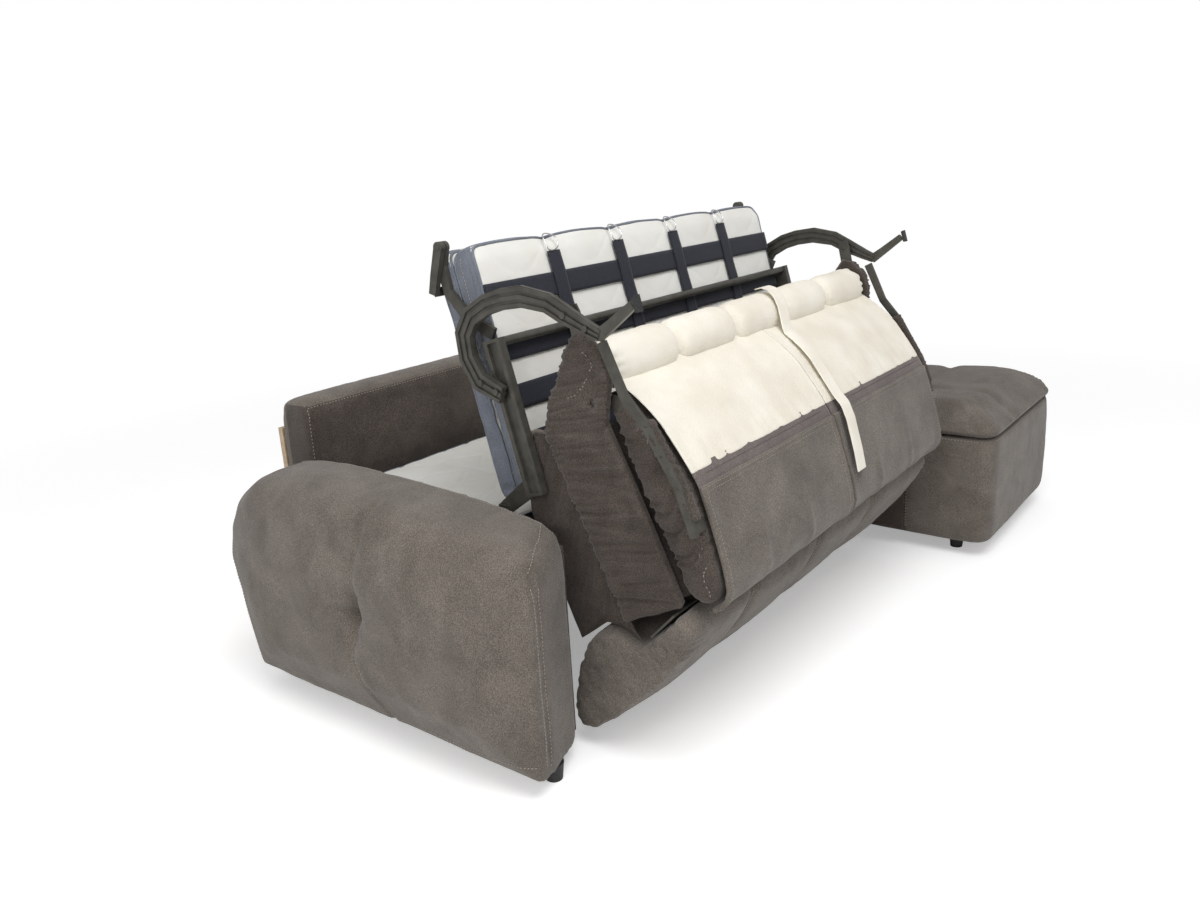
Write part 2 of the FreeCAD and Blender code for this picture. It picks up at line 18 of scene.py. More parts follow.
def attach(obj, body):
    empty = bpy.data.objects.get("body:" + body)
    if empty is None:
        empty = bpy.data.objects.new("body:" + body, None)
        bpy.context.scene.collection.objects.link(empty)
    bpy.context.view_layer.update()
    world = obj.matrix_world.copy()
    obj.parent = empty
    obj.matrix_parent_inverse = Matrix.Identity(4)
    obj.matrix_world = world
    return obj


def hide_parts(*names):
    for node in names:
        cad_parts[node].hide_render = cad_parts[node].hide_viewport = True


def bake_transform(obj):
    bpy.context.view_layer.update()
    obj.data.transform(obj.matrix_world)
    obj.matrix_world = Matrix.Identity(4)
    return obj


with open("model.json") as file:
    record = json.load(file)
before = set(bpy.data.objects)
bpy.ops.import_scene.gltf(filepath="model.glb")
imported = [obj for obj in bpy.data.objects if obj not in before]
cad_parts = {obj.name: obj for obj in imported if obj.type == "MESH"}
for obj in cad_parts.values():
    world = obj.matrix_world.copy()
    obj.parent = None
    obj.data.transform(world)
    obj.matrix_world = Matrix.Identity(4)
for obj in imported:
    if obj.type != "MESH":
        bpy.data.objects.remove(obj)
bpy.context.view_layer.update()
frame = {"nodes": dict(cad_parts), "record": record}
nodes = frame["nodes"]

# %% [markdown]
# The camera stands off the left arm's front corner, at chest height, where the picture
# was taken. Its place and turn come from the vanishing points of the sofa's edges.

# %% Camera
scene = bpy.context.scene
scene.view_settings.view_transform = "Standard"
lens = bpy.data.cameras.new("photo_camera")
lens.lens, lens.sensor_width = 29.07, 36.0
camera = bpy.data.objects.new("photo_camera", lens)
scene.collection.objects.link(camera)
turn = Matrix(((0.60086427, 0.25907394, -0.7562029),
               (-0.79744304, 0.12895341, -0.58945365),
               (-0.05519714, 0.95721038, 0.28408021)))
camera.matrix_world = Matrix.Translation((-2.49872, -1.54546, 1.302)) @ turn.to_4x4()
scene.camera = camera
print("camera at", tuple(camera.location))

# %% [markdown]
# Studio light is soft and comes from above. A bright world fills the shadows, two wide
# lamps over the front and the left give the folds their shape, and the floor keeps the
# shadow.

# %% Light and floor
world = bpy.data.worlds.new("studio")
scene.world = world
world.use_nodes = True
sky = world.node_tree
background = sky.nodes["Background"]
background.inputs["Color"].default_value = (1, 1, 1, 1)
seen = sky.nodes.new("ShaderNodeLightPath")
strength = sky.nodes.new("ShaderNodeMapRange")
strength.inputs["To Min"].default_value = 0.52
strength.inputs["To Max"].default_value = 1.0
sky.links.new(seen.outputs["Is Camera Ray"], strength.inputs["Value"])
sky.links.new(strength.outputs["Result"], background.inputs["Strength"])


def soft_lamp(name, place, target, size, power):
    light = bpy.data.lights.new(name, "AREA")
    light.shape, light.size, light.energy = "DISK", size, power
    lamp = bpy.data.objects.new(name, light)
    aim = (Vector(target) - Vector(place)).to_track_quat("-Z", "Y")
    lamp.matrix_world = Matrix.Translation(place) @ aim.to_matrix().to_4x4()
    scene.collection.objects.link(lamp)


soft_lamp("key_lamp", (-1.6, -1.9, 4.2), (0, 0.1, 0.4), 2.6, 105)
soft_lamp("side_lamp", (-4.6, -0.6, 2.0), (-0.6, 0, 0.5), 2.2, 42)

bm = bmesh.new()
bmesh.ops.create_circle(bm, cap_ends=True, segments=64, radius=14)
floor_mesh = bpy.data.meshes.new("floor")
bm.to_mesh(floor_mesh)
bm.free()
floor = bpy.data.objects.new("floor", floor_mesh)
scene.collection.objects.link(floor)

# %% [markdown]
# ## Finishes
# A finish is a small tree of nodes. The class below keeps each one short: it makes the
# shader, feeds colours and heights into it, and every pattern reads Object coordinates,
# which are metres here, so the weave has its real scale on every piece.


# %% A short way to write a material
class Finish:
    def __init__(self, name, roughness, **sockets):
        self.material = bpy.data.materials.new(name)
        self.material.use_nodes = True
        self.tree = self.material.node_tree
        self.shader = self.tree.nodes["Principled BSDF"]
        self.shader.inputs["Roughness"].default_value = roughness
        for socket, value in sockets.items():
            self.shader.inputs[socket.replace("_", " ")].default_value = value
        self.place = self.node("ShaderNodeTexCoord").outputs["Object"]
        self.normal = None

    def node(self, kind, inputs=(), **settings):
        made = self.tree.nodes.new(kind)
        for setting, value in settings.items():
            setattr(made, setting, value)
        for key, value in dict(inputs).items():
            if isinstance(value, bpy.types.NodeSocket):
                self.tree.links.new(value, made.inputs[key])
            else:
                made.inputs[key].default_value = value
        return made

    def stretched(self, scale):
        return self.node("ShaderNodeMapping", {
            "Vector": self.place, "Scale": scale}).outputs["Vector"]

    def clouds(self, scale, detail=2.0, place=None, distortion=0.0):
        return self.node("ShaderNodeTexNoise", {
            "Vector": place or self.place, "Scale": scale, "Detail": detail,
            "Distortion": distortion}).outputs["Fac"]

    def cells(self, scale):
        return self.node("ShaderNodeTexVoronoi", {
            "Vector": self.place, "Scale": scale}).outputs["Distance"]

    def lines(self, scale, direction="X", distortion=0.0):
        return self.node("ShaderNodeTexWave", {
            "Vector": self.place, "Scale": scale, "Distortion": distortion,
            "Detail": 1.0}, bands_direction=direction).outputs["Fac"]

    def levels(self, source, low, high, dark, light):
        """Colour from a pattern: dark below low, light above high."""
        ramp = self.node("ShaderNodeValToRGB", {"Fac": source})
        ends = ramp.color_ramp.elements
        ends[0].position, ends[0].color = low, (*dark, 1)
        ends[1].position, ends[1].color = high, (*light, 1)
        return ramp.outputs["Color"]

    def mixed(self, share, first, second, how="MIX"):
        """Two colours in one: socket 0 is the share, 6 and 7 are the colours."""
        return self.node("ShaderNodeMix", {0: share, 6: first, 7: second},
                         data_type="RGBA", blend_type=how).outputs[2]

    def colour(self, source):
        self.tree.links.new(source, self.shader.inputs["Base Color"])

    def rough(self, source, smooth, coarse):
        spread = self.node("ShaderNodeMapRange", {
            "Value": source, "From Min": 0.3, "From Max": 0.7,
            "To Min": smooth, "To Max": coarse})
        self.tree.links.new(spread.outputs["Result"], self.shader.inputs["Roughness"])

    def emboss(self, height, millimetres, strength=1.0):
        inputs = {"Height": height, "Distance": millimetres / 1000, "Strength": strength}
        if self.normal:
            inputs["Normal"] = self.normal
        self.normal = self.node("ShaderNodeBump", inputs).outputs["Normal"]
        self.tree.links.new(self.normal, self.shader.inputs["Normal"])


# %% [markdown]
# The face fabric is a soft woven velvet like suede: cloudy in colour where the pile has
# been brushed, pale specks at its tips, and a fine diagonal weave under the pile.


# %% Velvets
def velvet(name, dark, light, speck, grain, roughness=0.88):
    cloth = Finish(name, roughness, Sheen_Weight=0.22, Sheen_Roughness=0.45,
                   Specular_IOR_Level=0.25)
    brushed = cloth.clouds(11.0, 6.0, distortion=0.5)
    patches = cloth.levels(brushed, 0.25, 0.75, dark, light)
    tips = cloth.levels(cloth.clouds(420, 3.0), 0.40, 0.64, (0.55, 0.55, 0.55), speck)
    cloth.colour(cloth.mixed(0.8, patches, tips, "MULTIPLY"))
    cloth.emboss(cloth.clouds(420, 3.0), grain)
    cloth.emboss(cloth.lines(260, "DIAGONAL", 1.5), grain * 0.45, 0.6)
    return cloth.material


taupe = velvet("taupe_velvet", (0.118, 0.101, 0.086), (0.192, 0.168, 0.146),
               (1.4, 1.38, 1.34), 0.6)
dark_taupe = velvet("dark_velvet", (0.050, 0.040, 0.034), (0.098, 0.080, 0.069),
                    (1.7, 1.64, 1.56), 1.3, 0.95)
mauve = velvet("zip_tape_velvet", (0.135, 0.110, 0.104), (0.190, 0.160, 0.150),
               (1.2, 1.2, 1.2), 0.3)

# %% [markdown]
# The lining and the strap are a thick cream cloth with a dimpled weave. The mattress
# cover is a smooth knit, with a blue-grey woven border round its sides.

# %% Cream lining, mattress cover and border
cream_cloth = Finish("cream_lining", 0.9, Sheen_Weight=0.12)
cream_cloth.colour(cream_cloth.levels(
    cream_cloth.clouds(9, 3), 0.3, 0.7, (0.76, 0.705, 0.60), (0.86, 0.82, 0.725)))
cream_cloth.emboss(cream_cloth.cells(230), 1.1, 0.7)
cream_cloth.emboss(cream_cloth.clouds(500, 2), 0.3)
cream = cream_cloth.material

knit_cloth = Finish("mattress_knit", 0.85, Sheen_Weight=0.1)
knit_cloth.colour(knit_cloth.levels(
    knit_cloth.clouds(6, 3), 0.3, 0.7, (0.80, 0.785, 0.73), (0.88, 0.875, 0.84)))
knit_cloth.emboss(knit_cloth.lines(420, "DIAGONAL", 2.0), 0.25, 0.7)
knit_cloth.emboss(knit_cloth.clouds(60, 3), 0.9, 0.5)
knit = knit_cloth.material

border_cloth = Finish("mattress_border", 0.9, Sheen_Weight=0.15)
wash = border_cloth.levels(border_cloth.clouds(14, 4), 0.35, 0.65,
                           (0.105, 0.118, 0.150), (0.185, 0.200, 0.240))
flecks = border_cloth.levels(border_cloth.clouds(500, 2), 0.35, 0.65,
                             (0.09, 0.10, 0.125), (0.24, 0.26, 0.30))
border_cloth.colour(border_cloth.mixed(0.5, wash, flecks))
border_cloth.emboss(border_cloth.clouds(380, 3), 0.6)
blue_grey = border_cloth.material

# %% [markdown]
# The steel is painted a satin olive grey that shows a faint orange peel. Wire is bright
# zinc, the webbing a ribbed elastic, and the boards are plain pale plywood.

# %% Steel, wire, webbing, boards and plastic
steel_paint = Finish("painted_steel", 0.42, Metallic=0.35, Specular_IOR_Level=0.5)
steel_paint.colour(steel_paint.levels(
    steel_paint.clouds(35, 4), 0.3, 0.75, (0.062, 0.058, 0.048), (0.104, 0.099, 0.085)))
steel_paint.rough(steel_paint.clouds(18, 3), 0.34, 0.52)
steel_paint.emboss(steel_paint.clouds(240, 2), 0.12, 0.5)
steel = steel_paint.material

zinc = Finish("bright_wire", 0.22, Metallic=1.0)
zinc.colour(zinc.levels(zinc.clouds(60, 2), 0.3, 0.7, (0.62, 0.62, 0.63), (0.78, 0.78, 0.79)))
wire = zinc.material

elastic = Finish("black_webbing", 0.75, Sheen_Weight=0.1)
elastic.colour(elastic.levels(
    elastic.clouds(300, 2), 0.35, 0.65, (0.006, 0.007, 0.014), (0.017, 0.020, 0.036)))
elastic.emboss(elastic.lines(170, "Z", 0.3), 0.5, 0.8)
webbing = elastic.material

board = Finish("timber", 0.7)
ply = board.clouds(5, 4, board.stretched((1, 14, 14)), 0.8)
board.colour(board.levels(ply, 0.3, 0.7, (0.42, 0.31, 0.20), (0.60, 0.47, 0.33)))
board.emboss(ply, 0.4, 0.5)
timber = board.material

moulded = Finish("black_plastic", 0.5)
moulded.colour(moulded.levels(
    moulded.clouds(200, 2), 0.3, 0.7, (0.012, 0.012, 0.012), (0.030, 0.030, 0.030)))
moulded.emboss(moulded.clouds(500, 2), 0.1, 0.5)
plastic = moulded.material

thread_finish = Finish("pale_thread", 0.8)
thread_finish.colour(thread_finish.levels(
    thread_finish.clouds(900, 1), 0.3, 0.7, (0.26, 0.23, 0.195), (0.42, 0.38, 0.33)))
thread = thread_finish.material

plain_to, white_from, floor_glow = 2.1, 4.2, 0.34
paper = Finish("studio_floor", 0.9)
paper.colour(paper.levels(
    paper.clouds(0.8, 2), 0.2, 0.8, (0.90, 0.90, 0.90), (0.93, 0.93, 0.93)))
reach = paper.node(
    "ShaderNodeVectorMath", {0: paper.place}, operation="LENGTH").outputs["Value"]
edge = paper.node("ShaderNodeMapRange", {
    "Value": reach, "From Min": plain_to, "From Max": white_from,
    "To Min": 0.0, "To Max": 1.0}).outputs["Result"]
looked_at = paper.node("ShaderNodeLightPath").outputs["Is Camera Ray"]
share = paper.node("ShaderNodeMath", {0: edge, 1: looked_at}, operation="MULTIPLY").outputs[0]
glow = paper.node("ShaderNodeEmission", {"Color": (1, 1, 1, 1), "Strength": 1.0}).outputs[0]
lift = paper.node("ShaderNodeEmission", {"Color": (1, 1, 1, 1)})
faint = paper.node("ShaderNodeMath", {0: looked_at, 1: floor_glow}, operation="MULTIPLY")
paper.tree.links.new(faint.outputs[0], lift.inputs["Strength"])
raised = paper.node("ShaderNodeAddShader", {0: paper.shader.outputs[0], 1: lift.outputs[0]})
fade = paper.node("ShaderNodeMixShader", {0: share, 1: raised.outputs[0], 2: glow})
paper.tree.links.new(fade.outputs[0], paper.tree.nodes["Material Output"].inputs["Surface"])
floor_mesh.materials.append(paper.material)

by_slot = {"taupe_velvet": taupe, "dark_lining": dark_taupe, "cream_lining": cream,
           "mattress_cover": knit, "black_webbing": webbing, "painted_steel": steel,
           "bright_wire": wire, "timber": timber, "black_plastic": plastic}
for sub in frame["record"]["subparts"]:
    for place in nodes[sub["node"]].material_slots:
        place.material = by_slot[sub["material_slot"]]
print("finishes:", sorted(m.name for m in bpy.data.materials))

# %% [markdown]
# ## Working in side view
# The sofa is drawn in side view, so most pieces are easier to shape in a frame that
# leans with them: how far in from the left end, how far along, how far out. The frames
# are those of the construction, in millimetres.


# %% Leaning frames
class SideView:
    def __init__(self, y, z, tilt=0.0):
        self.start = np.array((-1001.0, y, z))
        c, s = math.cos(math.radians(tilt)), math.sin(math.radians(tilt))
        self.axes = np.array(((1, 0, 0), (0, c, s), (0, -s, c)))

    def at(self, inset, along, out):
        return Vector((self.start + np.array((inset, along, out)) @ self.axes) / 1000)

    def local(self, points):
        return (points * 1000 - self.start) @ self.axes.T

    def local_way(self, ways):
        return ways @ self.axes.T


level = SideView(0, 0)
bed = SideView(-58, 540, 74.6)
seat = SideView(-576, 351, 64.55)
hinge_line = seat.at(0, 66, -12) * 1000
border = SideView(hinge_line.y, hinge_line.z, 42.9)
print("border hinges at", tuple(round(v) for v in hinge_line))

# %% [markdown]
# ## Making cloth from solids
# A remesh turns the solid's few large faces into an even skin, and smoothing rounds it
# as foam rounds under a cover. Then `sculpt` moves the skin along its normals: seams go
# in, stuffing comes out. `puff` lets a cloth simulation with air pressure do the same.


# %% Skin, sculpt and puff
def place_piece(name, mesh, body, material):
    piece = bpy.data.objects.new(name, mesh)
    scene.collection.objects.link(piece)
    mesh.materials.clear()
    for one in material if isinstance(material, tuple) else (material,):
        mesh.materials.append(one)
    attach(piece, body)
    return piece


def apply_modifiers(piece):
    made = bpy.data.meshes.new_from_object(
        piece.evaluated_get(bpy.context.evaluated_depsgraph_get()))
    piece.modifiers.clear()
    old, piece.data = piece.data, made
    bpy.data.meshes.remove(old)
    piece.data.shade_smooth()


def skin(node, name, body, material, voxel, softness):
    mesh = nodes[node].data.copy()
    bm = bmesh.new()
    bm.from_mesh(mesh)
    bmesh.ops.remove_doubles(bm, verts=bm.verts, dist=1e-5)
    bm.to_mesh(mesh)
    bm.free()
    piece = place_piece(name, mesh, body, material)
    even = piece.modifiers.new("even_skin", "REMESH")
    even.mode, even.voxel_size = "VOXEL", voxel / 1000
    if softness:
        round_off = piece.modifiers.new("foam_edges", "SMOOTH")
        round_off.factor, round_off.iterations = 0.5, softness
    apply_modifiers(piece)
    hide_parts(node)
    print(name, len(piece.data.polygons), "faces")
    return piece


def vertex_table(mesh, what="co"):
    source = mesh.vertices if what == "co" else mesh.vertex_normals
    flat = np.empty(len(mesh.vertices) * 3, np.float32)
    source.foreach_get("co" if what == "co" else "vector", flat)
    return flat.reshape(-1, 3).astype(float)


def set_vertices(mesh, points):
    mesh.vertices.foreach_set("co", points.astype(np.float32).ravel())
    mesh.update()


def sculpt(piece, view, shape):
    """Moves the skin along its normals by shape(places, directions) millimetres."""
    points, normals = vertex_table(piece.data), vertex_table(piece.data, "normal")
    move = shape(view.local(points).T, view.local_way(normals).T)
    set_vertices(piece.data, points + normals * (move[:, None] / 1000))


def puff(piece, view, held, pressure, cap, frames=10):
    """Air pressure swells the skin, except where stitching holds it (held is 1)."""
    before = vertex_table(piece.data)
    weights = held(view.local(before).T)
    group = piece.vertex_groups.new(name="stitched_down")
    for index, weight in enumerate(weights):
        if weight > 0.02:
            group.add([index], float(weight), "REPLACE")
    cloth = piece.modifiers.new("stuffing", "CLOTH")
    cloth.settings.vertex_group_mass = group.name
    cloth.settings.use_pressure = True
    cloth.settings.uniform_pressure_force = pressure
    cloth.settings.tension_stiffness = cloth.settings.compression_stiffness = 12
    cloth.settings.bending_stiffness = 0.4
    cloth.settings.effector_weights.gravity = 0
    cloth.point_cache.frame_start, cloth.point_cache.frame_end = 1, frames
    for step in range(1, frames + 1):
        scene.frame_set(step)
    apply_modifiers(piece)
    scene.frame_set(1)
    piece.vertex_groups.clear()
    after = vertex_table(piece.data)
    move = after - before
    length = np.linalg.norm(move, axis=1, keepdims=True)
    set_vertices(piece.data, before + move * np.minimum(1, cap / 1000 / np.maximum(length, 1e-9)))
    print(piece.name, "swells by up to", round(float(length.max()) * 1000, 1), "mm, kept to", cap)


def crease(distance, depth, width):
    """A soft groove along a line that is that distance away."""
    return -depth * np.exp(-(distance / width) ** 2)


def lumps(places, size, seed=0):
    """Smooth noise from -1 to 1, with lumps of size = (across, along, out) mm."""
    scaled = places.T / np.array(size) + seed * 7.3
    return np.array([noise.noise(Vector(p)) for p in scaled])


def fade_in(value, low, high):
    share = np.clip((value - low) / (high - low), 0, 1)
    return share * share * (3 - 2 * share)


# %% [markdown]
# Stitches and piping are what the eye looks for at a seam. A run of stitches is laid on
# the finished skin: each point of the run drops to the nearest place on it.


# %% Stitches, piping and flat strips
def walk(points, pitch):
    """Points at an even pitch (metres) along a line of corners."""
    corners = [Vector(p) for p in points]
    steps = [0.0]
    for a, b in zip(corners, corners[1:]):
        steps.append(steps[-1] + (b - a).length)
    count = max(2, int(steps[-1] / pitch))
    runs = np.linspace(0, steps[-1], count)
    table = np.array(corners)
    return [Vector([np.interp(r, steps, table[:, k]) for k in range(3)]) for r in runs]


def surface_of(piece):
    return BVHTree.FromObject(piece, bpy.context.evaluated_depsgraph_get())


def stitches(name, piece, runs, body, pitch=9.0, long=6.5, thick=2.4, material=None):
    """Rows of short threads that lie on the piece along each run of points."""
    skin_tree = surface_of(piece)
    bm = bmesh.new()
    for run in runs:
        places = [skin_tree.find_nearest(p) for p in walk(run, pitch / 1000)]
        places = [(p[0], p[1]) for p in places if p[0] is not None]
        for (a, up), (b, _) in zip(places, places[1:]):
            along = b - a
            if along.length < 1e-5 or along.length > pitch / 400:
                continue
            along.normalize()
            side = along.cross(up).normalized()
            turned = Matrix((along, side, along.cross(side))).transposed().to_4x4()
            size = Matrix.Diagonal((long / 2000, thick / 2000, thick / 2600, 1))
            middle = Matrix.Translation((a + b) / 2 + up * thick / 4000)
            bmesh.ops.create_icosphere(
                bm, subdivisions=1, radius=1, matrix=middle @ turned @ size)
    mesh = bpy.data.meshes.new(name)
    bm.to_mesh(mesh)
    bm.free()
    mesh.shade_smooth()
    return place_piece(name, mesh, body, material or thread)


def piping(name, run, radius, body, material, on=None, closed=False):
    """A covered cord sewn into a seam, as a round tube along the run."""
    tree = surface_of(on) if on else None
    places = walk(run, 0.02)
    if tree:
        places = [tree.find_nearest(p)[0] for p in places]
    curve = bpy.data.curves.new(name, "CURVE")
    curve.dimensions, curve.bevel_depth, curve.bevel_resolution = "3D", radius / 1000, 3
    line = curve.splines.new("NURBS")
    line.points.add(len(places) - 1)
    for point, place in zip(line.points, places):
        point.co = (*place, 1)
    line.order_u, line.use_endpoint_u, line.use_cyclic_u = 3, not closed, closed
    curve.use_fill_caps = not closed
    shaped = bpy.data.objects.new(name, curve)
    scene.collection.objects.link(shaped)
    bpy.context.view_layer.update()
    mesh = bpy.data.meshes.new_from_object(
        shaped.evaluated_get(bpy.context.evaluated_depsgraph_get()))
    bpy.data.objects.remove(shaped)
    mesh.shade_smooth()
    mesh.name = name
    return place_piece(name, mesh, body, material)


def grid_mesh(name, cells, place):
    """A grid whose corners go where place(share across, share along) says."""
    bm = bmesh.new()
    bmesh.ops.create_grid(bm, x_segments=cells[0], y_segments=cells[1], size=0.5)
    for v in bm.verts:
        v.co = place(v.co.x + 0.5, v.co.y + 0.5)
    mesh = bpy.data.meshes.new(name)
    bm.to_mesh(mesh)
    bm.free()
    return mesh


def thicken(piece, thick, soft=False):
    wall = piece.modifiers.new("cloth_thickness", "SOLIDIFY")
    wall.thickness, wall.offset = thick / 1000, 0
    if soft:
        curve_edges = piece.modifiers.new("rolled_edges", "SUBSURF")
        curve_edges.levels = curve_edges.render_levels = 1
    apply_modifiers(piece)
    return piece


class Path:
    """A side-view path of (along, out) corners, asked for places by their reach."""

    def __init__(self, corners):
        self.corners = np.array(corners, float)
        sides = np.hypot(*np.diff(self.corners, axis=0).T)
        self.steps = np.concatenate(([0], np.cumsum(sides)))
        self.length = self.steps[-1]

    def at(self, reach):
        return np.array([np.interp(reach, self.steps, self.corners[:, k]) for k in (0, 1)])


def strip(name, view, corners, first, last, thick, body, material,
          cells=(24, 60), lift=None, soft=False, slant=0.0):
    """A flat piece of cloth that runs along a side-view path between two insets."""
    path, near = Path(corners), 8

    def place(share, run):
        reach = run * path.length
        a, b = path.at(reach)
        ahead = path.at(min(reach + near, path.length))
        way_a, way_b = ahead - path.at(max(reach - near, 0))
        span = math.hypot(way_a, way_b)
        rise = lift(share, run) if lift else 0.0
        return view.at(first + (last - first) * share + slant * (run - 0.5),
                       a - way_b / span * rise, b + way_a / span * rise)

    piece = place_piece(name, grid_mesh(name, cells, place), body, material)
    return thicken(piece, thick, soft)


def side_cloth(name, view, upper, lower, inset, material, wave, thick=2.0, cells=(60, 30)):
    """A loose cloth seen from the side, spanned between an upper and a lower edge."""
    top, bottom = Path(upper), Path(lower)

    def place(share, run):
        a, b = (top.at(share * top.length) * (1 - run)
                + bottom.at(share * bottom.length) * run)
        return view.at(inset + wave(share, run), a, b)

    piece = bpy.data.objects.new(name, grid_mesh(name, cells, place))
    scene.collection.objects.link(piece)
    piece.data.materials.append(material)
    return thicken(piece, thick)


# %% [markdown]
# ## The left arm
# The arm is a board frame with foam on it, covered in one soft piece that swells on the
# outside. A seam runs down the middle of that side, and a tuft pulls the cover in half
# way down. A pinch of cloth runs back from the tuft.

# %% Left arm
# the seam's heights, and how far back it stands at each
arm_seam = ((60, 95, 211, 326, 430, 560, 600), (128, 133, 200, 182, 168, 154, 150))
arm_tuft = 326


def arm_shape(p, n):
    inset, y, z = p
    outside = fade_in(-inset, 120, 190)
    off = y - np.interp(z, *arm_seam)
    tuft = np.exp(-((z - arm_tuft) / 75) ** 2)
    move = outside * (crease(off, 5, 9) + crease(off, 1, 16) * 13 * tuft)
    move += outside * crease(off, 1, 55) * 11 * tuft
    move += outside * -20 * np.exp(-(np.hypot(off, z - arm_tuft) / 20) ** 2)
    pinch = np.exp(-((z - 330 - 0.12 * (y - 182)) / 9) ** 2)
    move -= outside * 9 * pinch * fade_in(y, 178, 190) * (1 - fade_in(y, 215, 265))
    for drop, back, gain in ((40, 1, 4), (-46, -1, 3.5), (-70, 1, 3)):
        fold = z - (arm_tuft + drop) - back * 0.9 * np.abs(off)
        move -= outside * gain * np.exp(-(fold / 8) ** 2) * np.exp(-(off / 34) ** 2)
    swell = (np.sin(np.clip((y + 300) / 480, 0, 1) * np.pi)
             + np.sin(np.clip((y - 190) / 500, 0, 1) * np.pi))
    move += outside * 7 * swell * np.sin(np.clip((z - 60) / 560, 0, 1) * np.pi)
    front = fade_in(-y, 210, 280)
    move += front * crease(inset + 172, 5, 8) * fade_in(z, 60, 120) * (1 - fade_in(z, 500, 530))
    corner = np.abs((inset + 172) * 0.45 - (z - 515) * 0.9) * 0.7
    move += front * crease(corner, 3.5, 8) * fade_in(z, 500, 525)
    move += 2.2 * lumps(p, (120, 120, 120), 1) + 0.9 * lumps(p, (34, 34, 34), 2)
    return move


left_arm = skin("left_arm", "left_arm_upholstery", "sofa_body", taupe, 7, 9)
sculpt(left_arm, level, arm_shape)

arm_side = [(-268, 480), (-252, 540), (-205, 570), (0, 588), (330, 604), (500, 601),
            (600, 586), (664, 546), (700, 490), (716, 412), (700, 230), (664, 90)]
outer_edge = [level.at(-215, y, z) for y, z in (
    (-330, 90), (-160, 72), (200, 70), (500, 72), (630, 84), (690, 250), (712, 400),
    (690, 490), (650, 548))]
inner_edge = [level.at(-30, y, z + 12) for y, z in arm_side]
mid_seam = [level.at(-262, y - 5, z) for z, y in zip(*arm_seam)]
mid_seam_lower = [p for p in mid_seam if p.z < 0.30]
mid_seam_upper = [p for p in mid_seam if 0.36 < p.z < 0.47]
front_seams = [[level.at(x, y, z) for z in range(low, 521, 35)]
               for x, y, low in ((-180, -352, 80), (-164, -360, 70))]
top_corner = [level.at(x, y, z) for x, y, z in (
    (-178, -325, 522), (-130, -300, 552), (-80, -275, 572), (-32, -245, 588))]
stitches("left_arm_stitching", left_arm,
         [outer_edge, inner_edge, mid_seam_lower, mid_seam_upper, *front_seams, top_corner],
         "sofa_body")

# %% [markdown]
# ## The right arm, the side wall and the backrest panel behind the bed
# These are plainer: the right arm stands on the chaise's far side, the side wall closes
# the bed opening, and the rear panel is a padded board along the sofa's back.


# %% Right arm, side wall, rear panel
def plain_arm(p, n):
    inset, y, z = p
    move = fade_in(inset, 2170, 2230) * crease(y - 230, 7, 12)
    return move + 2.2 * lumps(p, (120, 120, 120), 3) + 0.9 * lumps(p, (34, 34, 34), 4)


right_arm = skin("right_arm", "right_arm_upholstery", "sofa_body", taupe, 9, 8)
sculpt(right_arm, level, plain_arm)
side_wall = skin("bed_side_wall", "side_wall_upholstery", "sofa_body", dark_taupe,
                 8, 4)
sculpt(side_wall, level, lambda p, n: 1.2 * lumps(p, (60, 60, 60), 5) - 0.6)


def rear_shape(p, n):
    inset, y, z = p
    move = 2.5 * lumps(p, (260, 90, 160), 6) + 1.2 * lumps(p, (30, 30, 30), 7)
    return move + crease(z - 725, 3, 7) * fade_in(-n[1], 0.2, 0.8)


rear_panel = skin("rear_panel", "rear_panel_upholstery", "sofa_body", (dark_taupe, taupe),
                  9, 5)
sculpt(rear_panel, level, rear_shape)
for face in rear_panel.data.polygons:
    if face.center.z > 0.722 or face.center.y > 0.70:
        face.material_index = 1
rear_ends = [level.at(8, 600, z) for z in range(120, 741, 60)]
rear_line = [level.at(x, 604, 722) for x in range(10, 2010, 60)]
stitches("rear_panel_stitching", rear_panel, [rear_line, rear_ends], "sofa_body",
         10)

# %% [markdown]
# ## The chaise
# A deep crowned seat on an upholstered box. Its cushion is pulled down by tufts in a
# row of seams, its front edge rolls over, and its side is two cloths: the face fabric in
# front and the darker lining where the bed hides it.


# %% Chaise box and cushion
chaise_left, cloth_change, chaise_rim = 1514, -471, 400
tuft_column, tuft_rows = 1770, (-400, -60, 260)


def chaise_side(p, n):
    inset, y, z = p
    move = 2 * lumps(p, (160, 160, 160), 8) + 0.8 * lumps(p, (32, 32, 32), 9)
    side = fade_in(-n[0], 0.4, 0.9)
    seam = side * crease(y - cloth_change, 3.5, 7)
    return move + seam + crease(z - chaise_rim, 3, 6) - 0.5


def chaise_crown(p, n):
    inset, y, z = p
    up = fade_in(n[2], 0.1, 0.7)
    rows = crease(inset - tuft_column, 9, 26) + sum(
        crease(y - at, depth, 26) for at, depth in zip(tuft_rows, (9, 8, 8)))
    tufts = sum(-17 * np.exp(-(np.hypot(inset - tuft_column, y - at) / 34) ** 2)
                for at in tuft_rows)
    across = np.abs(np.sin((inset - 1516) / 741 * 2 * np.pi))
    along = np.abs(np.sin((y + 749) / 340 * np.pi))
    move = up * (rows + tufts + 9 * across * along) + 2.2 * lumps(p, (110, 110, 110), 10)
    return move + 0.9 * lumps(p, (30, 30, 30), 11) + crease(z - 410, 3, 6)


